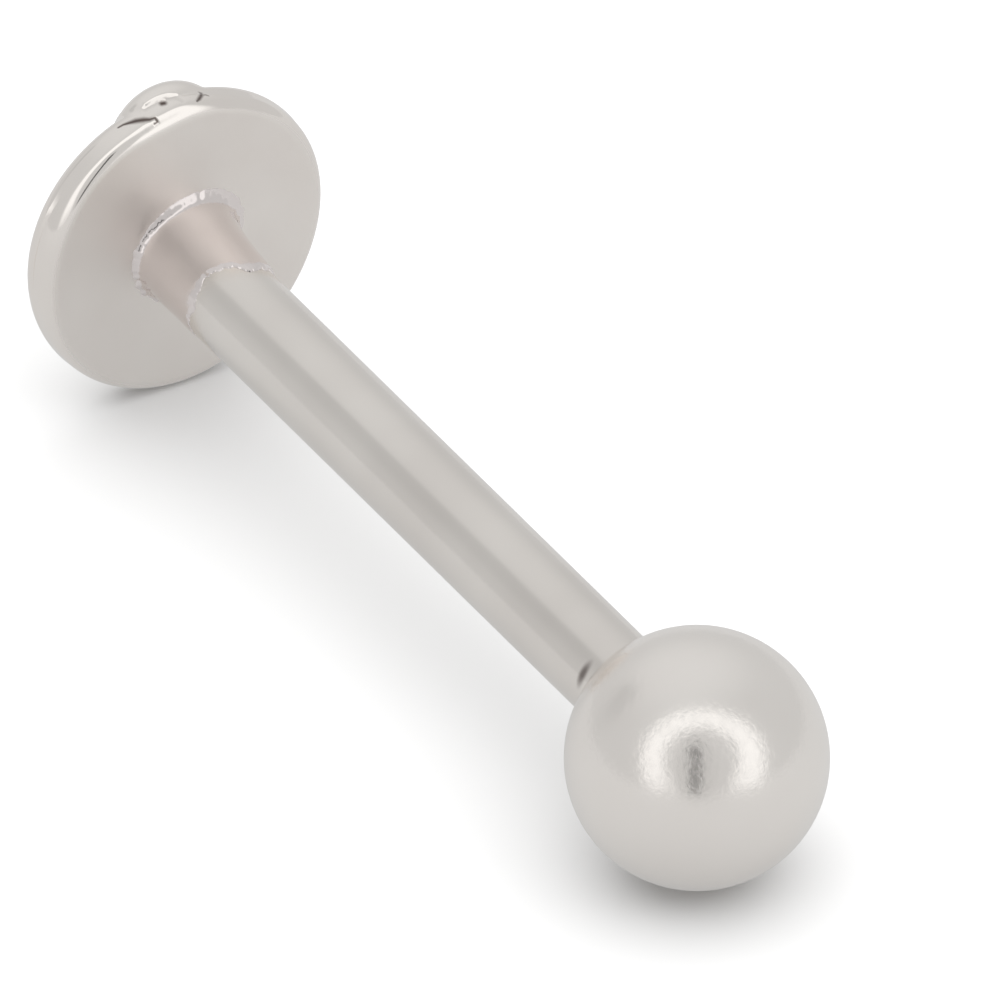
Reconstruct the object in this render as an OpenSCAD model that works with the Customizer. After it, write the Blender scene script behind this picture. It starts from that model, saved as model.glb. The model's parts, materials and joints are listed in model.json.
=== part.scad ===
// Labret stud of white gold, lying on its side: a round domed head soldered to a post, and a ball screwed on its end

/* [Post] */
// Diameter of the post, sold as 16 gauge
post_d = 1.18; // [1.1:0.02:1.6]
// Length of post that is worn, from the flat back of the head to the ball
post_len = 10.5; // [6:0.1:14]
// Radius of the solder that runs round the foot of the post
solder_r = 0.12; // [0.04:0.02:0.2]
// How far the post stands to the side of the head's middle
post_side = 0.06; // [0:0.01:0.15]
// How far the post stands above the head's middle
post_rise = 0.01; // [0:0.01:0.1]

/* [Head] */
// Diameter of the round head
head_d = 4.04; // [3.6:0.02:6]
// Height of the head, from its flat back to the top of its dome
head_h = 0.95; // [0.85:0.05:1.4]
// Radius of the rounded edge of the flat back
back_round = 0.15; // [0.05:0.01:0.2]
// Height above the flat back at which the side starts to turn in
side_h = 0.3; // [0.24:0.02:0.4]
// Radius of the shoulder between the side and the dome
shoulder_round = 0.25; // [0.2:0.05:0.4]

/* [Lobe] */
// Width of the small rounded lobe at the top of the head
lobe_d = 1.46; // [1:0.02:1.8]
// How far the lobe stands out past the head's side
lobe_out = 0.17; // [0.1:0.01:0.3]
// Thickness of the lobe, which is also twice the radius of its rim
lobe_t = 0.5; // [0.4:0.05:0.7]
// Height of the lobe above the flat back
lobe_up = 0.22; // [0.1:0.02:0.3]
// How far the lobe leans to the side, in degrees
lobe_lean = 2; // [0:1:20]

/* [Thread] */
// Diameter over the thread
thread_d = 0.98; // [0.8:0.02:1]
// Depth of the thread
thread_depth = 0.09; // [0.05:0.01:0.12]
// Distance from one turn of the thread to the next
thread_pitch = 0.25; // [0.2:0.05:0.4]
// Length of the threaded end
thread_len = 2; // [1.5:0.25:2.25]
// Clearance all round between the thread and the ball's bore
thread_clearance = 0.04; // [0.02:0.01:0.08]

/* [Ball] */
// Diameter of the screw-on ball
ball_d = 3.18; // [3:0.02:3.4]
// Clearance between the end of the post and the ball's seat
seat_clearance = 0.02; // [0.01:0.01:0.05]
// How much wider than the post the ball's flat seat is
seat_margin = 0.08; // [0.02:0.02:0.2]
// How much deeper than the threaded end the ball's bore is
bore_spare = 0.15; // [0.05:0.05:0.3]

/* [Hidden] */
$fn = 96;
metal = "#cfccc6";
ball_metal = "#d8d5cf";

// Round sizes as radii
post_r = post_d / 2;
head_r = head_d / 2;
lobe_r = lobe_d / 2;
thread_r = thread_d / 2;
ball_r = ball_d / 2;

// Arc of the head's dome, which runs smoothly into the shoulder
shoulder_x = head_r - shoulder_round;
dome_rise = head_h - side_h;
dome_r = (pow(shoulder_x, 2) + pow(dome_rise, 2) - pow(shoulder_round, 2)) / (2 * (dome_rise - shoulder_round));
dome_half = asin(shoulder_x / (dome_r - shoulder_round));
arc_steps = 12;

// Distance from the head's middle to the lobe's middle
lobe_x = head_r + lobe_out - lobe_r;

// The ball's flat seat and its middle, measured along the post from the back of the head
seat_r = post_r + seat_margin / 2;
seat_x = post_len + seat_clearance;
ball_x = seat_x + sqrt(pow(ball_r, 2) - pow(seat_r, 2));

// The stud lies on the ball and on the edge of the head, so its post tips down towards the ball
head_low = head_r + post_rise - back_round;
contact_run = ball_x + back_round;
tip = atan2(head_low, contact_run) - asin((ball_r - back_round) / norm([head_low, contact_run]));
post_z = ball_r + ball_x * sin(tip);

// Ends of the stud along X as it lies, so that the origin is in the middle of its box
low_x = (dome_r - head_h) * cos(tip) - post_rise * sin(tip) - dome_r;
high_x = ball_x * cos(tip) + ball_r;

// Points of an arc about a middle, from one angle to another
function arc(middle, radius, from, to) =
    [for (i = [0 : arc_steps]) let (a = from + (to - from) * i / arc_steps)
        middle + radius * [cos(a), sin(a)]];

// Half outline of the head: radius across, height above the flat back up
function head_outline() = concat(
    [[0, 0]],
    arc([head_r - back_round, back_round], back_round, -90, 0),
    arc([shoulder_x, side_h], shoulder_round, 0, 90 - dome_half),
    arc([0, head_h - dome_r], dome_r, 90 - dome_half, 90)
);

// Half outline of the threaded end, from the post to its tip: the thread is drawn as rings
turns = floor(thread_len / thread_pitch) - 1;
root_r = thread_r - thread_depth;
thread_start = (thread_len - turns * thread_pitch) / 2;
function thread_outline() = concat(
    [[0, -thread_start], [root_r, -thread_start]],
    [for (i = [0 : turns - 1]) let (y = thread_start + i * thread_pitch)
        each [[root_r, y], [thread_r, y + thread_pitch / 2]]],
    [[root_r, thread_len - thread_start], [root_r, thread_len - thread_depth],
     [root_r - thread_depth, thread_len], [0, thread_len]]
);

// Turns a child that is drawn upright so that its Z runs along the post, to the ball
module along_post(x = 0) {
    translate([x, 0, 0]) rotate([0, 90, 0]) children();
}

// Lays the stud on the surface, with the origin in the middle of its box
module lying() {
    translate([-(low_x + high_x) / 2, -post_side, post_z]) rotate([0, tip, 0]) children();
}

// The domed head, with its flat back towards the ball
module head_body() {
    along_post() mirror([0, 0, 1]) rotate_extrude() polygon(head_outline());
}

// The small lobe that overhangs the top of the head's side
module lobe() {
    rim = lobe_t / 2;
    rotate([lobe_lean, 0, 0]) translate([0, 0, lobe_x])
        along_post(-lobe_up) mirror([0, 0, 1])
            rotate_extrude() polygon(concat(
                [[0, 0]],
                arc([lobe_r - rim, rim], rim, -90, 90),
                [[0, lobe_t]]
            ));
}

// Hollow ring of solder in the corner between the head and the post
module solder() {
    along_post() rotate_extrude() difference() {
        translate([0, -solder_r]) square([post_r + solder_r, 2 * solder_r]);
        translate([post_r + solder_r, solder_r]) circle(solder_r);
    }
}

// Head, post and threaded end, soldered into one piece
module headed_post() {
    color(metal) lying() {
        translate([0, post_side, -post_rise]) {
            head_body();
            lobe();
        }
        solder();
        along_post(-side_h) cylinder(h = post_len + side_h, r = post_r);
        along_post(post_len) rotate_extrude() polygon(thread_outline());
    }
}

// Ball that screws on the end of the post, with a flat seat and a blind bore
module ball() {
    color(ball_metal) lying() difference() {
        translate([ball_x, 0, 0]) sphere(ball_r);
        along_post(seat_x - ball_r) cylinder(h = ball_r, r = ball_r);
        along_post(post_len) cylinder(h = thread_len + bore_spare, r = thread_r + thread_clearance);
    }
}

headed_post();
ball();
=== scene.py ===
import json
from bisect import bisect
from math import asin, atan2, cos, degrees, exp, hypot, pi, radians, sin, sqrt, tau

import bmesh
import bpy
from mathutils import Matrix, Vector, noise


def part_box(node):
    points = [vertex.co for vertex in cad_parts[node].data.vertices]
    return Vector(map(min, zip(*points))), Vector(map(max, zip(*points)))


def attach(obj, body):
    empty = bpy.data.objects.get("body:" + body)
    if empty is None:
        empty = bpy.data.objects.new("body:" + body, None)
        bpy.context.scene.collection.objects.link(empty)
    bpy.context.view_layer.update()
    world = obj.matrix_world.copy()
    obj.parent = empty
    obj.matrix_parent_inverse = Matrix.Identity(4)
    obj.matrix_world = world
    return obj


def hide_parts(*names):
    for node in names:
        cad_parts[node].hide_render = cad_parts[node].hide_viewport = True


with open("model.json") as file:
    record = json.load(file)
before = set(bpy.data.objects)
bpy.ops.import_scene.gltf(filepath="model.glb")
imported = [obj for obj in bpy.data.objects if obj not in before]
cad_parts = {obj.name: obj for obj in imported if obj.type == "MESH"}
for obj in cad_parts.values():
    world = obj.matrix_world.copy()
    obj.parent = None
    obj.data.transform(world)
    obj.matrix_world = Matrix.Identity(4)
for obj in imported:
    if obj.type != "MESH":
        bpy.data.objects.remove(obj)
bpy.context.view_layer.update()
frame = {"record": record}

# Post: a length of round white gold wire, drawn and then polished along and round, with a thread cut on
# the end that the ball screws on. Polishing leaves faint streaks along it and a soft mirror, and a small
# dark patch is painted into its colour beside the ball.
scene = bpy.context.scene
mm_per_m = 1000
mounts = {mount["name"]: mount for mount in frame["record"]["mounts"]}
along = Vector(mounts["post"]["axis"])
post_middle = Vector(mounts["post"]["pos_m"])
post_len = 2 * mm_per_m * (post_middle - Vector(mounts["head_back"]["pos_m"])).dot(along)
post_r = mounts["post"]["dims"]["r_mm"]
post_bury = 0.2
post_steps = 144
shoulder_bevel = 0.025
thread_r = 0.49
thread_depth = 0.09
thread_pitch = 0.25
thread_len = 2.0
thread_neck = 0.12
thread_rows = 72
# The painted dark patch's middle along the post, its turn round it in degrees, its half sizes along, in
# depth and round, and the share of them that is darkest
patch_along = 10.19
patch_turn = 150
patch_size = (0.095, 0.15, 0.25)
patch_core = 0.15
# Edges that bend by more degrees than this stay sharp, and places nearer than a hair count as one
crease_angle = 32
hair = 1e-4

# Each piece is modelled in the stud's own millimetres, with X along the post from the back of the head.
# The stud lies on its side, on the edge of the head and the ball, so the post tips down a little, and lay
# puts a mesh there.
tip = atan2(-along.z, along.x)
lay = (Matrix.Translation(post_middle - along * post_len / (2 * mm_per_m))
       @ Matrix.Rotation(tip, 4, "Y") @ Matrix.Scale(1 / mm_per_m, 4))
# Where the stud's own origin lies in the coordinates that the materials read
stud_start = Matrix.Rotation(-tip, 3, "Y") @ (lay.translation * mm_per_m)


def finish_piece(name, bm, material, body, node):
    """Lays a bmesh down as a smooth piece that rides on a body and stands for a node."""
    bmesh.ops.recalc_face_normals(bm, faces=bm.faces)
    bm.transform(lay)
    mesh = bpy.data.meshes.new(name)
    bm.to_mesh(mesh)
    bm.free()
    mesh.shade_smooth()
    mesh.set_sharp_from_angle(angle=radians(crease_angle))
    mesh.materials.append(material)
    piece = bpy.data.objects.new(name, mesh)
    scene.collection.objects.link(piece)
    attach(piece, body)
    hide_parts(node)


def spin_outline(bm, outline, steps, closed=False):
    """Turns an outline of (along, out) points once round X."""
    verts = [bm.verts.new((x, 0, r)) for x, r in outline]
    ends = verts[1:] + verts[:1] if closed else verts[1:]
    edges = [bm.edges.new(pair) for pair in zip(verts, ends)]
    bmesh.ops.spin(bm, geom=verts + edges, cent=(0, 0, 0), axis=(1, 0, 0), angle=tau,
                   steps=steps, use_merge=True)
    bmesh.ops.remove_doubles(bm, verts=bm.verts, dist=hair / 10)


def white_gold(name, light, dark, haze, haze_spread, grain_scale, grain_height):
    """White gold whose tone drifts softly, with a polish that has grain_scale lines to a millimetre."""
    material = bpy.data.materials.new(name)
    material.use_nodes = True
    nodes = material.node_tree.nodes
    links = material.node_tree.links
    shader = nodes["Principled BSDF"]
    shader.inputs["Metallic"].default_value = 1
    place = nodes.new("ShaderNodeTexCoord")
    along_stud = nodes.new("ShaderNodeMapping")
    along_stud.name = "along the stud"
    along_stud.inputs["Rotation"].default_value = (0, -tip, 0)
    along_stud.inputs["Scale"].default_value = (mm_per_m, mm_per_m, mm_per_m)
    links.new(place.outputs["Object"], along_stud.inputs["Vector"])

    drift = nodes.new("ShaderNodeTexNoise")
    drift.inputs["Scale"].default_value = 0.55
    drift.inputs["Detail"].default_value = 2
    links.new(along_stud.outputs["Vector"], drift.inputs["Vector"])
    tone = nodes.new("ShaderNodeValToRGB")
    tone.name = "tone"
    tone.color_ramp.elements[0].position = 0.35
    tone.color_ramp.elements[0].color = (*dark, 1)
    tone.color_ramp.elements[1].position = 0.65
    tone.color_ramp.elements[1].color = (*light, 1)
    links.new(drift.outputs["Fac"], tone.inputs["Fac"])
    links.new(tone.outputs["Color"], shader.inputs["Base Color"])

    stretch = nodes.new("ShaderNodeMapping")
    stretch.inputs["Scale"].default_value = grain_scale
    links.new(along_stud.outputs["Vector"], stretch.inputs["Vector"])
    grain = nodes.new("ShaderNodeTexNoise")
    grain.inputs["Scale"].default_value = 1
    grain.inputs["Detail"].default_value = 4
    links.new(stretch.outputs["Vector"], grain.inputs["Vector"])
    polish = nodes.new("ShaderNodeMapRange")
    polish.name = "polish"
    polish.inputs["From Min"].default_value = 0.3
    polish.inputs["From Max"].default_value = 0.7
    polish.inputs["To Min"].default_value = haze - haze_spread
    polish.inputs["To Max"].default_value = haze + haze_spread
    links.new(grain.outputs["Fac"], polish.inputs["Value"])
    links.new(polish.outputs["Result"], shader.inputs["Roughness"])
    bump = nodes.new("ShaderNodeBump")
    bump.inputs["Distance"].default_value = grain_height / mm_per_m
    bump.inputs["Strength"].default_value = 1
    links.new(grain.outputs["Fac"], bump.inputs["Height"])
    links.new(bump.outputs["Normal"], shader.inputs["Normal"])
    return material


def stain(material, share, colour):
    """Gives a white gold a second colour, by a share from 0 to 1 all over it."""
    nodes = material.node_tree.nodes
    links = material.node_tree.links
    mix = nodes.new("ShaderNodeMix")
    mix.data_type = "RGBA"
    mix.inputs["B"].default_value = (*colour, 1)
    links.new(share, mix.inputs["Factor"])
    links.new(nodes["tone"].outputs["Color"], mix.inputs["A"])
    links.new(mix.outputs["Result"], nodes["Principled BSDF"].inputs["Base Color"])


drawn_gold = white_gold("drawn white gold", light=(0.865, 0.828, 0.786), dark=(0.82, 0.78, 0.74),
                        haze=0.17, haze_spread=0.04, grain_scale=(0.5, 8, 8), grain_height=0.0012)
# A small dark patch painted into the colour beside the ball
nodes = drawn_gold.node_tree.nodes
links = drawn_gold.node_tree.links
around_patch = nodes.new("ShaderNodeMapping")
around_patch.vector_type = "TEXTURE"
around_patch.inputs["Location"].default_value = stud_start + Vector(
    (patch_along, post_r * cos(radians(patch_turn)), post_r * sin(radians(patch_turn))))
around_patch.inputs["Rotation"].default_value = (radians(patch_turn), 0, 0)
around_patch.inputs["Scale"].default_value = patch_size
links.new(nodes["along the stud"].outputs["Vector"], around_patch.inputs["Vector"])
off_patch = nodes.new("ShaderNodeVectorMath")
off_patch.operation = "LENGTH"
links.new(around_patch.outputs["Vector"], off_patch.inputs[0])
dark_patch = nodes.new("ShaderNodeMapRange")
dark_patch.interpolation_type = "SMOOTHSTEP"
dark_patch.inputs["From Min"].default_value = 1
dark_patch.inputs["From Max"].default_value = patch_core
links.new(off_patch.outputs["Value"], dark_patch.inputs["Value"])
stain(drawn_gold, share=dark_patch.outputs["Result"], colour=(0.27, 0.24, 0.225))

root_r = thread_r - thread_depth
thread_run = thread_len - thread_depth
post_outline = [(-post_bury, 0), (-post_bury, post_r), (post_len - shoulder_bevel, post_r),
                (post_len, post_r - shoulder_bevel), (post_len, root_r)]
post_outline += [(post_len + thread_run * i / thread_rows, root_r) for i in range(thread_rows + 1)]
post_outline += [(post_len + thread_len, root_r - thread_depth), (post_len + thread_len, 0)]
bm = bmesh.new()
spin_outline(bm, post_outline, post_steps)
# The thread: each point of the end moves out by how near it is to the crest of the turn that passes it
for v in bm.verts:
    r = hypot(v.co.y, v.co.z)
    run = v.co.x - post_len
    if run > hair and root_r - thread_depth / 2 < r < thread_r:
        turn = (run / thread_pitch - atan2(v.co.z, v.co.y) / tau) % 1
        crest = 1 - abs(2 * turn - 1)
        fade_in = max(0, (run - thread_neck) / thread_pitch)
        fade_out = max(0, (thread_run - run) / thread_pitch)
        grow = (r + thread_depth * crest * min(1, fade_in, fade_out)) / r
        v.co.y *= grow
        v.co.z *= grow
finish_piece("post", bm, drawn_gold, "headed_post", "headed_post")


# Solder: hard solder that ran between the post's foot and the flat back and crept up the post. It stands
# in a small fillet, thicker on one side, and ends in a ragged lip that the polishing wheel doesn't reach.
# Its skin over the post, and the turn round the post in degrees from which its rise is counted
solder_skin = 0.012
solder_turn = 35.9
solder_steps = 260
# How far it crept up the post, by the turn
solder_rise = [(0, 1.32), (20, 1.4), (48, 1.45), (57, 1.31), (76, 1.235), (90, 1.185), (119, 1.3),
               (138, 1.27), (160, 1.2), (180, 1.15), (230, 1.05), (290, 1.1), (330, 1.2), (360, 1.32)]
# The bank on its thicker side: its height, its spread in degrees, how far up it reaches and how it thins
bank_h = 0.2
bank_spread = 40
bank_reach = 1.1
bank_thins = 0.5
# The fillet at its foot, and how much wider it is at the bank
foot_h = 0.085
foot_bank = 0.06
foot_reach = 0.045
# The bead along its lip, the reach of the lumps there, and how quickly and how deep the edge goes down
bead_h = 0.016
bead_reach = 0.045
lump_reach = 0.1
lip_edge = 22
lip_sink = 0.012
# Its ripples: the height of each, and how many there are to a unit of length
lip_wave = (0.05, 4)
lip_dent = (0.04, 16)
foot_wave = (0.035, 8)
bead_wave = (bead_h, 11)
skin_lump = (0.006, 2.5)
lip_lump = (0.01, 8)
foot_grit = 0.014
grit_round = 19
grit_up = 3
lump_r = 0.6
# Its rows crowd at the foot, up to a knee, and are even from there to the lip
solder_rows = 70
row_knee = 0.6
row_even = 0.3
row_crowd = 2.4
# How far the edges of its strip are tucked into the head and the post, and the last one beyond the lip
head_tuck = 0.05
post_tuck = 0.06
lip_tuck = 0.01


def between(pairs, at):
    """The value at a place on the smooth curve through the pairs of (place, value)."""
    for i in range(len(pairs) - 1):
        if at <= pairs[i + 1][0]:
            break
    (a, low), (b, high) = pairs[i], pairs[i + 1]
    before = pairs[max(i - 1, 0)]
    after = pairs[min(i + 2, len(pairs) - 1)]
    rise_in = (high - before[1]) / (b - before[0]) * (b - a)
    rise_out = (after[1] - low) / (after[0] - a) * (b - a)
    t = min(max((at - a) / (b - a), 0), 1)
    return (low * (1 + 2 * t) * (1 - t) ** 2 + high * t * t * (3 - 2 * t)
            + rise_in * t * (1 - t) ** 2 - rise_out * t * t * (1 - t))


def row_rise(share):
    """How far up the solder a row of it lies, as a share of its rise."""
    low = min(share, row_knee)
    rise = row_even * low + (1 - row_even) * low ** row_crowd
    return rise + (1 - rise) * (share - low) / (1 - row_knee)


def ripple(height, often, place):
    """The height of a ripple at a place."""
    return height * noise.noise(place * often)


# A strip from the flat back up the post, each row of which is drawn in or out once it is spun
bm = bmesh.new()
solder_outline = [(-head_tuck, post_r - post_tuck)]
solder_outline += [(i / solder_rows, post_r) for i in range(solder_rows + 1)]
solder_outline += [(1 + lip_tuck, post_r - post_tuck)]
spin_outline(bm, solder_outline, solder_steps, closed=True)
for v in bm.verts:
    r = hypot(v.co.y, v.co.z)
    turn = (degrees(atan2(v.co.z, v.co.y)) - solder_turn) % 360
    at = Vector((0, cos(radians(turn)), sin(radians(turn))))
    top = between(solder_rise, turn) + ripple(*lip_wave, at) + ripple(*lip_dent, at)
    if r > post_r - post_tuck / 2:
        share = v.co.x
        rise = top * row_rise(share)
        from_lip = top - rise
        bank = exp(-((turn + 180) % 360 - 180) ** 2 / (2 * bank_spread ** 2))
        spot = Vector((rise, at.y * lump_r, at.z * lump_r))
        rough = ripple(*foot_wave, at) + foot_grit * noise.noise(at * grit_round + spot * grit_up)
        foot = (foot_h + foot_bank * bank + rough) * exp(-rise / foot_reach)
        skin = solder_skin + bank_h * bank * exp(-rise / bank_reach) * (1 - bank_thins * rise / top)
        bead = (bead_h + ripple(*bead_wave, at)) * exp(-(from_lip / bead_reach) ** 2)
        lump = ripple(*skin_lump, spot) + ripple(*lip_lump, spot) * exp(-(from_lip / lump_reach) ** 2)
        lip = sqrt(min(1, (1 - share) * lip_edge))
        out = post_r + (skin + foot + bead + lump) * lip - lip_sink * (1 - lip)
        v.co = Vector((rise, v.co.y * out / r, v.co.z * out / r))
    elif v.co.x > 0:
        v.co.x = top + lip_tuck
bright_solder = white_gold("hard solder", light=(0.865, 0.81, 0.79), dark=(0.81, 0.755, 0.74),
                           haze=0.1, haze_spread=0.04, grain_scale=(4, 4, 4), grain_height=0.004)
finish_piece("solder", bm, bright_solder, "headed_post", "headed_post")


# Head: a solid dome, cast in white gold and polished, with a flat back that is only brushed. Its outline
# is a little oval and broader at the shoulders, and a small rounded lobe, cast with it, overhangs its side
# at the top.
head_middle = (0.063, 0.0416)
head_r = 2.0285
head_h = 0.95
side_h = 0.3
shoulder_round = 0.25
# How far it is from round: oval and three-sided, as shares of its radius, and the turn of both
oval = 0.0143
three_sided = -0.0084
outline_turn = radians(94)
# The rim's rounding: the angle where it passes from the inner radius to the outer, and the plain radii
rim_knee = radians(50)
plain_inner = 0.16
plain_outer = 0.2
# By the turn round the head in degrees: the rim's inner and outer radius, and how far it is drawn out
rim_by_turn = [(0, 0.16, 0.2, -0.01), (70, 0.16, 0.2, -0.005), (78, 0.18, 0.2, 0.015),
               (88, 0.27, 0.2, 0.045), (97, 0.28, 0.2, 0.02), (106, 0.24, 0.2, 0.0),
               (114, 0.18, 0.2, -0.01), (126, 0.16, 0.2, -0.02), (140, 0.16, 0.24, -0.03),
               (156, 0.17, 0.33, -0.03), (180, 0.17, 0.33, -0.025), (200, 0.16, 0.25, -0.015),
               (230, 0.16, 0.2, -0.01), (360, 0.16, 0.2, -0.01)]
rim_columns = [[(row[0], row[column]) for row in rim_by_turn] for column in (1, 2, 3)]
# The rows of its mesh: rings of the flat back, and steps round the rim, down the side, over the shoulder
# and up the dome
flat_rings = (0, 0.5, 1.0, 1.5)
rim_inset = 0.012
rim_steps = 22
side_steps = 10
shoulder_steps = 40
dome_steps = 24
# The lobe, a round pebble that lies flat on the head: its turn round the head, how far out its middle is,
# its radius, how round its front and back are, and how far its middle is behind the flat back
lobe_turn = radians(92)
lobe_middle_out = 1.385
lobe_r = 0.765
lobe_front = 0.24
lobe_back = 0.3
lobe_depth = 0.42
# How wide the lobe blends into the head, by the turn round the head in degrees
seam_by_turn = [(60, 0.03), (85, 0.035), (100, 0.04), (114, 0.03), (130, 0.03)]
# The head's points that are near the lobe go out to it, at the most so far, away from a ring in the head
lobe_near = 0.1
lobe_most = 0.5
lobe_halvings = 20
ring_depth = 0.22
ring_out = 1.65
# Its mesh is finer over the lobe
lobe_half_turn = radians(40)
lobe_steps = 420
rest_steps = 300
# How much duller the flat back is than the rest, and how deep behind it that starts and ends
flat_haze = 0.34
flat_fade_in = 0.03
flat_fade_out = 0.004
# Folds of the lobe, darkened with painted shade: how deep each is, how dark its painted shade is, and the
# points on it, each with its place along the stud, across and up, and the fold's half width there
left_crease = (0.005, 1, [
    (-0.302, -0.737, 1.927, 0.024), (-0.293, -0.674, 1.952, 0.03), (-0.265, -0.61, 1.974, 0.045),
    (-0.23, -0.535, 1.997, 0.072), (-0.182, -0.464, 2.015, 0.068), (-0.139, -0.394, 2.019, 0.042),
    (-0.128, -0.322, 2.031, 0.028), (-0.08, -0.315, 1.995, 0.024), (-0.078, -0.365, 1.98, 0.014)])
pit = (0.008, 1, [(-0.246, -0.157, 2.118, 0.058), (-0.235, -0.127, 2.122, 0.056)])
right_crease = (0.008, 1, [
    (-0.265, 0.407, 2.105, 0.034), (-0.167, 0.361, 2.122, 0.05), (-0.12, 0.304, 2.108, 0.044),
    (-0.101, 0.262, 2.097, 0.026)])
short_crease = (0.004, 0.7, [
    (-0.18, 0.368, 2.124, 0.036), (-0.187, 0.429, 2.112, 0.032), (-0.156, 0.461, 2.097, 0.02)])
ridge = (-0.005, 0, [
    (-0.364, -0.318, 2.108, 0.05), (-0.368, -0.248, 2.147, 0.06), (-0.364, -0.146, 2.175, 0.06),
    (-0.348, -0.034, 2.19, 0.06), (-0.307, 0.08, 2.165, 0.06), (-0.23, 0.12, 2.14, 0.04)])
groove = (0.007, 0.1, [
    (-0.304, -0.358, 2.056, 0.06), (-0.308, -0.288, 2.095, 0.075), (-0.304, -0.186, 2.127, 0.075),
    (-0.288, -0.074, 2.139, 0.075), (-0.247, 0.04, 2.116, 0.07), (-0.165, 0.08, 2.1, 0.04)])
folds = [left_crease, pit, right_crease, short_crease, ridge, groove]
# All the folds lie within these limits along, across and up
folds_back = -0.45
folds_across = (-0.9, 0.6)
folds_low = 1.85


def rim_point(angle, inner, outer, drawn):
    """Where the rim's rounding has a normal at an angle from the axis: its depth and how far out."""
    if angle < rim_knee:
        depth = inner * (1 - cos(angle))
        short = outer * (1 - sin(rim_knee)) + inner * (sin(rim_knee) - sin(angle))
    else:
        depth = inner * (1 - cos(rim_knee)) + outer * (cos(rim_knee) - cos(angle))
        short = outer * (1 - sin(angle))
    return depth, head_r + drawn - short


# The outline from the middle of the flat back, round the rim, down the side, over the shoulder and up the
# dome
rim_angles = [pi / 2 * i / rim_steps for i in range(rim_steps + 1)]
plain_rim = [rim_point(angle, plain_inner, plain_outer, 0) for angle in rim_angles]
rim_depth = plain_rim[-1][0]
flat_r = plain_rim[0][1]
head_outline = [(0, ring) for ring in (*flat_rings, flat_r - rim_inset)]
first_rim_row = len(head_outline)
head_outline += [(-depth, out) for depth, out in plain_rim]
first_side_row = len(head_outline)
for i in range(1, side_steps):
    head_outline.append((-rim_depth - (side_h - rim_depth) * i / side_steps, head_r))
first_shoulder_row = len(head_outline)
shoulder_out = head_r - shoulder_round
dome_rise = head_h - side_h
dome_r = (shoulder_out ** 2 + dome_rise ** 2 - shoulder_round ** 2) / (2 * (dome_rise - shoulder_round))
dome_half = asin(shoulder_out / (dome_r - shoulder_round))
for i in range(shoulder_steps + 1):
    angle = (pi / 2 - dome_half) * i / shoulder_steps
    head_outline.append((-side_h - shoulder_round * sin(angle),
                         shoulder_out + shoulder_round * cos(angle)))
for i in range(1, dome_steps + 1):
    angle = dome_half * (1 - i / dome_steps)
    head_outline.append((dome_r - head_h - dome_r * cos(angle), dome_r * sin(angle)))
row_depths = [-x for x, out in head_outline]


def head_point(row, turn):
    """Where a row of the head's outline lies at a turn round it: the rim is not the same all round."""
    x, out = head_outline[row]
    inner, outer, drawn = [between(column, turn) for column in rim_columns]
    if row < first_rim_row:
        return x, out * rim_point(0, inner, outer, drawn)[1] / flat_r
    if row < first_side_row:
        depth, out = rim_point(rim_angles[row - first_rim_row], inner, outer, drawn)
        return -depth, out
    if row < first_shoulder_row:
        depth = rim_point(pi / 2, inner, outer, drawn)[0]
        share = (row - first_side_row + 1) / side_steps
        return -depth - (max(side_h, depth) - depth) * share, out + drawn * (1 - share)
    return x, out


bm = bmesh.new()
for first, turned, steps in ((lobe_turn - lobe_half_turn, 2 * lobe_half_turn, lobe_steps),
                             (lobe_turn + lobe_half_turn, tau - 2 * lobe_half_turn, rest_steps)):
    verts = [bm.verts.new((x, out * cos(first), out * sin(first))) for x, out in head_outline]
    edges = [bm.edges.new(pair) for pair in zip(verts, verts[1:])]
    bmesh.ops.spin(bm, geom=verts + edges, cent=(0, 0, 0), axis=(1, 0, 0), angle=turned, steps=steps)
bmesh.ops.remove_doubles(bm, verts=bm.verts, dist=hair)
bmesh.ops.recalc_face_normals(bm, faces=bm.faces)
for v in bm.verts:
    out = hypot(v.co.y, v.co.z)
    if out > 10 * hair:
        at = atan2(v.co.z, v.co.y)
        row = bisect(row_depths, hair - v.co.x) - 1
        if row == first_rim_row:
            row = min(range(first_rim_row + 1), key=lambda i: abs(head_outline[i][1] - out))
        x, new_out = head_point(row, degrees(at) % 360)
        turn = at - outline_turn
        new_out *= 1 + (oval * cos(2 * turn) + three_sided * cos(3 * turn)) * min(1, out / head_r)
        v.co = Vector((x, v.co.y * new_out / out, v.co.z * new_out / out))
bm.normal_update()
lobe_middle = Vector((-lobe_depth, cos(lobe_turn) * lobe_middle_out, sin(lobe_turn) * lobe_middle_out))


def lobe_distance(point):
    """How far a point is outside the lobe."""
    edge = lobe_front if point.x > lobe_middle.x else lobe_back
    out = hypot(point.y - lobe_middle.y, point.z - lobe_middle.z) - (lobe_r - edge)
    return hypot(max(out, 0), point.x - lobe_middle.x) - edge


def onto_lobe(start, normal):
    """Where a point of the head comes out on the skin of head and lobe together, their seam blended."""
    at = atan2(start.z, start.y)
    outward = (start - Vector((-ring_depth, ring_out * cos(at), ring_out * sin(at)))).normalized()
    lean = outward.dot(normal)
    blend = between(seam_by_turn, degrees(at))
    low = 0
    high = lobe_most
    for _ in range(lobe_halvings):
        half = (low + high) / 2
        off_head = half * lean
        off_lobe = lobe_distance(start + outward * half)
        near = max(blend - abs(off_head - off_lobe), 0) / blend
        if min(off_head, off_lobe) - near * near * blend / 4 < 0:
            low = half
        else:
            high = half
    return start + outward * low


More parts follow.
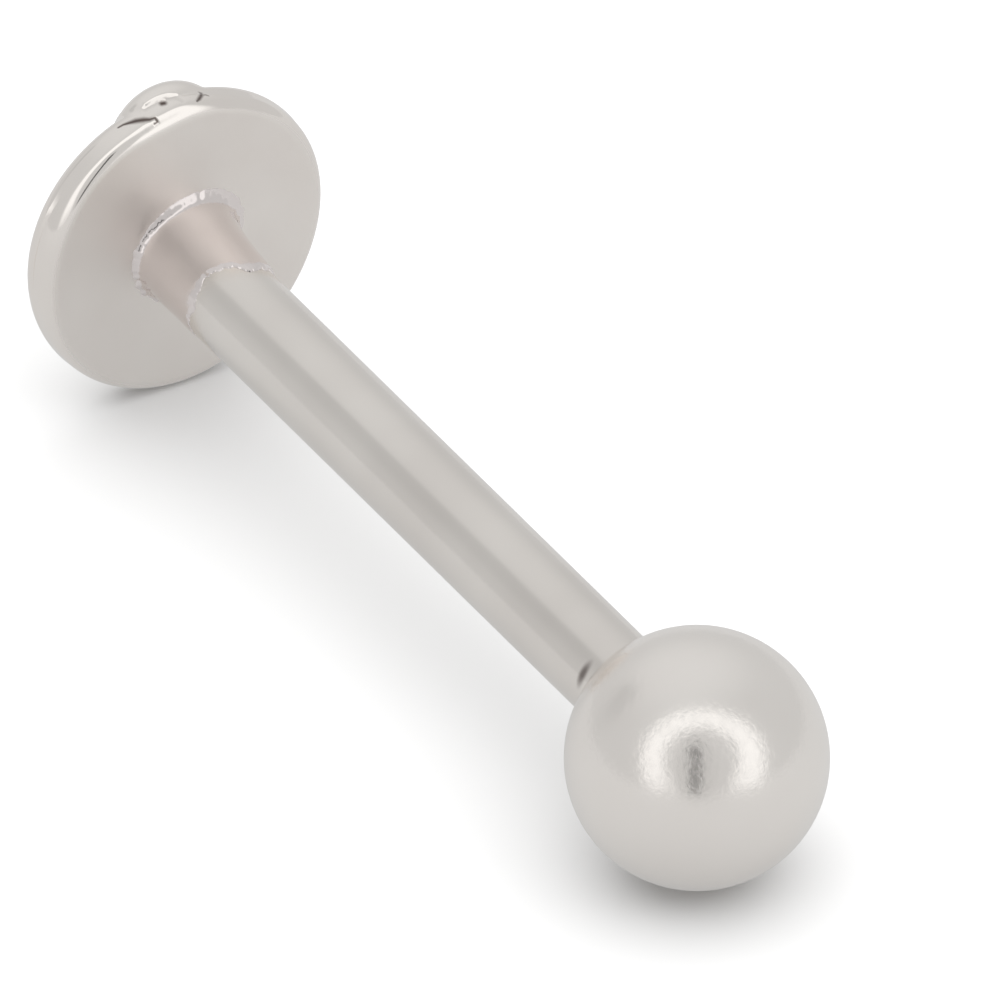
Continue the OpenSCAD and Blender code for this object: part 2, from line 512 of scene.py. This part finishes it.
def fold_share(place, normal, points):
    """How far a place on the skin is into a fold, from 0 beside it to 1 along its middle."""
    share = 0
    for (*start, start_width), (*end, end_width) in zip(points, points[1:]):
        run = Vector(end) - Vector(start)
        t = min(max((place - Vector(start)).dot(run) / run.length_squared, 0), 1)
        away = place - Vector(start) - run * t
        beside = sqrt(max(away.length_squared - away.dot(normal) ** 2, 0))
        near = max(1 - beside / (start_width + (end_width - start_width) * t), 0)
        share = max(share, near * near * (3 - 2 * near))
    return share


for v in bm.verts:
    if v.co.x < -10 * hair and lobe_distance(v.co) < lobe_near:
        v.co = onto_lobe(v.co, v.normal)
for v in bm.verts:
    v.co += Vector((0, *head_middle))
bm.normal_update()
# Each fold's darkness is painted shade, kept in a layer that the head's colour reads
painted_fold_shade = bm.verts.layers.float.new("painted_fold_shade")
for v in bm.verts:
    if v.co.x > folds_back and folds_across[0] < v.co.y < folds_across[1] and v.co.z > folds_low:
        normal = v.normal.copy()
        push = 0
        for fold_depth, darkness, points in folds:
            share = fold_share(v.co, normal, points)
            push += fold_depth * share
            v[painted_fold_shade] = max(v[painted_fold_shade], darkness * share)
        v.co -= normal * push
cast_gold = white_gold("cast white gold", light=(0.94, 0.9, 0.857), dark=(0.905, 0.858, 0.815),
                       haze=0.09, haze_spread=0.025, grain_scale=(3, 3, 3), grain_height=0.0012)
# The flat back is only brushed with emery, so it is duller than the polished edge and lobe
nodes = cast_gold.node_tree.nodes
links = cast_gold.node_tree.links
depth_of = nodes.new("ShaderNodeSeparateXYZ")
links.new(nodes["along the stud"].outputs["Vector"], depth_of.inputs["Vector"])
flat = nodes.new("ShaderNodeMapRange")
flat.interpolation_type = "SMOOTHSTEP"
flat.inputs["From Min"].default_value = stud_start.x - flat_fade_in
flat.inputs["From Max"].default_value = stud_start.x - flat_fade_out
flat.inputs["To Max"].default_value = flat_haze
links.new(depth_of.outputs["X"], flat.inputs["Value"])
duller = nodes.new("ShaderNodeMath")
duller.operation = "ADD"
links.new(nodes["polish"].outputs["Result"], duller.inputs[0])
links.new(flat.outputs["Result"], duller.inputs[1])
links.new(duller.outputs["Value"], nodes["Principled BSDF"].inputs["Roughness"])
# The folds are darkened with painted shade, a grey brown laid into the colour
painted_shade = nodes.new("ShaderNodeAttribute")
painted_shade.attribute_name = "painted_fold_shade"
stain(cast_gold, share=painted_shade.outputs["Fac"], colour=(0.13, 0.1, 0.09))
finish_piece("head", bm, cast_gold, "headed_post", "headed_post")


# Ball: turned from white gold, drilled and tapped, with a small flat seat that meets the end of the post.
# It is tumbled, so it has a satin haze where the post has a mirror. Its bore is plain here, so that it
# slides off.
ball_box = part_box("ball")
ball_r = mm_per_m / 2 * (ball_box[1].z - ball_box[0].z)
ball_middle = Vector((ball_box[1].x - ball_r / mm_per_m, post_middle.y, ball_r / mm_per_m))
ball_x = (lay.inverted() @ ball_middle).x
seat_r = 0.63
bore_r = 0.53
bore_len = 2.13
bore_chamfer = 0.03
ball_rows = 120
ball_steps = 192

seat_x = ball_x - sqrt(ball_r ** 2 - seat_r ** 2)
seat_angle = asin(seat_r / ball_r)
ball_outline = [(seat_x + bore_len, 0), (seat_x + bore_len, bore_r),
                (seat_x + bore_chamfer, bore_r), (seat_x, bore_r + bore_chamfer)]
for i in range(ball_rows + 1):
    angle = seat_angle + (pi - seat_angle) * i / ball_rows
    ball_outline.append((ball_x - ball_r * cos(angle), ball_r * sin(angle)))
bm = bmesh.new()
spin_outline(bm, ball_outline, ball_steps)
tumbled_gold = white_gold("tumbled white gold", light=(0.945, 0.91, 0.87), dark=(0.92, 0.88, 0.84),
                          haze=0.22, haze_spread=0.04, grain_scale=(14, 14, 14), grain_height=0.0035)
finish_piece("ball_piece", bm, tumbled_gold, "ball", "ball")


# Camera: a long lens at the photograph's angle, aimed so that the ball falls where the photograph has it
camera_turn = radians(58.756)
camera_rise = radians(33.923)
# The photograph's width, and the ball's middle and radius in it, in pixels
image_px = 1000
ball_px = (696.94, 757.83)
ball_px_r = 133.25
# The lens and the sensor in millimetres, and how many times nearer and farther the camera still sees
lens = 1700
sensor = 36
clip_times = 10
right = Vector((cos(camera_turn), sin(camera_turn), 0))
back = Vector((sin(camera_turn) * cos(camera_rise), -cos(camera_turn) * cos(camera_rise),
               sin(camera_rise)))
up = back.cross(right)
px = ball_r / mm_per_m / ball_px_r
aim = (lay @ Vector((ball_x, 0, 0))
       - right * (ball_px[0] - image_px / 2) * px + up * (ball_px[1] - image_px / 2) * px)
distance = image_px * px * lens / sensor
camera_data = bpy.data.cameras.new("camera")
camera_data.lens = lens
camera_data.sensor_width = sensor
camera_data.clip_start = distance / clip_times
camera_data.clip_end = distance * clip_times
camera = bpy.data.objects.new("camera", camera_data)
scene.collection.objects.link(camera)
camera.location = aim + back * distance
camera.rotation_mode = "QUATERNION"
camera.rotation_quaternion = (-back).to_track_quat("-Z", "Y")
scene.camera = camera


# Table: a plain white card. It is overexposed to the lens, while the metal mirrors it as a grey with a
# painted glow, a little stronger towards the lens, so the card is another one to mirrored rays.
table_size = 1.5
# How white it is to the lens and to the metal, how strong its painted glow is to the metal near the lens
# and far from it, and how far from its middle, in metres, one has passed into the other
card_white = 0.7
card_mirrored = 0.157
card_glow_near = 0.42
card_glow_far = 0.395
card_fade = 0.015
bm = bmesh.new()
bmesh.ops.create_grid(bm, x_segments=1, y_segments=1, size=table_size / 2)
mesh = bpy.data.meshes.new("table")
bm.to_mesh(mesh)
bm.free()
table = bpy.data.objects.new("table", mesh)
scene.collection.objects.link(table)
card = bpy.data.materials.new("white card")
card.use_nodes = True
nodes = card.node_tree.nodes
links = card.node_tree.links
shader = nodes["Principled BSDF"]
shader.inputs["Roughness"].default_value = 0.9
shader.inputs["Specular IOR Level"].default_value = 0.1
ray = nodes.new("ShaderNodeLightPath")
paper = nodes.new("ShaderNodeMix")
paper.data_type = "RGBA"
paper.inputs["A"].default_value = (card_white, card_white, card_white, 1)
paper.inputs["B"].default_value = (card_mirrored, card_mirrored, card_mirrored, 1)
links.new(ray.outputs["Is Glossy Ray"], paper.inputs["Factor"])
links.new(paper.outputs["Result"], shader.inputs["Base Color"])
# To mirrored rays the card glows with a painted light, though it is no lamp
shader.inputs["Emission Color"].default_value = (1, 1, 1, 1)
place = nodes.new("ShaderNodeTexCoord")
nearness = nodes.new("ShaderNodeVectorMath")
nearness.operation = "DOT_PRODUCT"
nearness.inputs[1].default_value = back.xy.normalized().to_3d()
links.new(place.outputs["Object"], nearness.inputs[0])
fade = nodes.new("ShaderNodeMapRange")
fade.interpolation_type = "SMOOTHSTEP"
fade.inputs["From Min"].default_value = -card_fade
fade.inputs["From Max"].default_value = card_fade
fade.inputs["To Min"].default_value = card_glow_far
fade.inputs["To Max"].default_value = card_glow_near
links.new(nearness.outputs["Value"], fade.inputs["Value"])
card_glow = nodes.new("ShaderNodeMath")
card_glow.operation = "MULTIPLY"
links.new(fade.outputs["Result"], card_glow.inputs[0])
links.new(ray.outputs["Is Glossy Ray"], card_glow.inputs[1])
links.new(card_glow.outputs["Value"], shader.inputs["Emission Strength"])
mesh.materials.append(card)


# Light: a white tent all round with a lamp in the shape of an arch round the lens, and the dark slit of
# the tent that the lens looks through. A broad lamp above whitens the table. Places in the tent are shares
# of its radius, and each edge is a pair: where a form begins and where it is full.
tent = 0.63
# The arch: how bright, its middle and half width, how high it goes and how low, and the edges of its band
# and of its legs, which fade to the least
arch_light = 1.05
arch_middle = 0.058
arch_half_width = 0.692
arch_high = 0.574
arch_low = 0.785
arch_ring = 0.98
arch_edge = (0.285, 0.11)
legs_edge = (-0.66, -0.2)
legs_least = 0.1
# The front half of the tent, which is towards the lens
front_edge = (0, 0.1)
# The slit: how bright, how far left of the lens, and its edges
slit_light = 0.1
slit_left = 0.03
slit_side_edge = (0.086, 0.05)
slit_top_edge = (0.26, 0.18)
slit_low_edge = (-0.6, -0.42)
# The tent's lighter top, and which way it faces
top_light = 0.73
top_towards = Vector((-0.4745, 0.1124, 0.869)).normalized()
top_edge = (0.6, 1.05)
# The seam of the tent: how much darker, which way it faces, and its edges across and along it
seam_dark = 0.16
seam_towards = (0, 0.819, 0.574)
seam_edge = (0.13, 0.03)
seam_far_edge = (-0.6, 0)
seam_start_edge = (0.56, 0.66)
seam_end_edge = (0.88, 0.78)
# The lamp above, in metres and watts, turned a few degrees
lamp_size = 1.4
lamp_place = (0, 0.07, 0.5)
lamp_turn = radians(-8)
lamp_power = 9.2
world = bpy.data.worlds.new("tent")
scene.world = world
world.use_nodes = True
nodes = world.node_tree.nodes
links = world.node_tree.links
towards = nodes.new("ShaderNodeTexCoord")


def maths(operation, a, b=None, c=None):
    """A maths node on sockets or numbers."""
    node = nodes.new("ShaderNodeMath")
    node.operation = operation
    for socket, value in zip(node.inputs, (a, b, c)):
        if isinstance(value, (int, float)):
            socket.default_value = value
        elif value is not None:
            links.new(value, socket)
    return node.outputs[0]


def product(*values):
    """Sockets multiplied together."""
    result = values[0]
    for value in values[1:]:
        result = maths("MULTIPLY", result, value)
    return result


def along_direction(direction):
    """How far the ray points along a direction, from -1 to 1."""
    node = nodes.new("ShaderNodeVectorMath")
    node.operation = "DOT_PRODUCT"
    links.new(towards.outputs["Generated"], node.inputs[0])
    node.inputs[1].default_value = direction
    return node.outputs["Value"]


def smooth_step(value, start, end):
    """0 at start and 1 at end, smoothly."""
    node = nodes.new("ShaderNodeMapRange")
    node.interpolation_type = "SMOOTHSTEP"
    links.new(value, node.inputs["Value"])
    node.inputs["From Min"].default_value = start
    node.inputs["From Max"].default_value = end
    return node.outputs["Result"]


across = along_direction(right)
upward = along_direction(up)
in_front = smooth_step(along_direction(back), *front_edge)
# The arch, whose legs fade towards the table
above = maths("GREATER_THAN", upward, 0)
wide = maths("DIVIDE", maths("SUBTRACT", across, arch_middle), arch_half_width)
tall = product(upward, maths("MULTIPLY_ADD", above, 1 / arch_high - 1 / arch_low, 1 / arch_low))
ring = maths("SQRT", maths("ADD", product(wide, wide), product(tall, tall)))
band = smooth_step(maths("ABSOLUTE", maths("SUBTRACT", ring, arch_ring)), *arch_edge)
legs = maths("MULTIPLY_ADD", smooth_step(upward, *legs_edge), 1 - legs_least, legs_least)
arch = product(band, legs, in_front)
# The slit in front of the lens
slit_sides = smooth_step(maths("ABSOLUTE", maths("ADD", across, slit_left)), *slit_side_edge)
slit = product(slit_sides, smooth_step(upward, *slit_top_edge), smooth_step(upward, *slit_low_edge),
               in_front)
# The tent is lighter above, and a seam in it shows as a thin dark line along the post
top = smooth_step(along_direction(top_towards), *top_edge)
seam_side = along_direction(seam_towards)
headward = along_direction((-1, 0, 0))
seam = product(smooth_step(seam_side, *seam_edge), smooth_step(seam_side, *seam_far_edge),
               smooth_step(headward, *seam_start_edge), smooth_step(headward, *seam_end_edge))
glow = maths("MULTIPLY_ADD", top, top_light - tent, tent)
glow = product(glow, maths("MULTIPLY_ADD", seam, -seam_dark, 1))
glow = maths("MULTIPLY_ADD", arch, arch_light - tent, glow)
glow = maths("MULTIPLY_ADD", slit, slit_light - tent, glow)
background = nodes["Background"]
background.inputs["Color"].default_value = (1, 1, 1, 1)
links.new(glow, background.inputs["Strength"])

lamp_data = bpy.data.lights.new("lamp above", "AREA")
lamp_data.shape = "SQUARE"
lamp_data.size = lamp_size
lamp_data.energy = lamp_power
lamp = bpy.data.objects.new("lamp above", lamp_data)
scene.collection.objects.link(lamp)
lamp.location = lamp_place
lamp.rotation_euler = (lamp_turn, 0, 0)
lamp.visible_glossy = False
scene.view_settings.view_transform = "Standard"
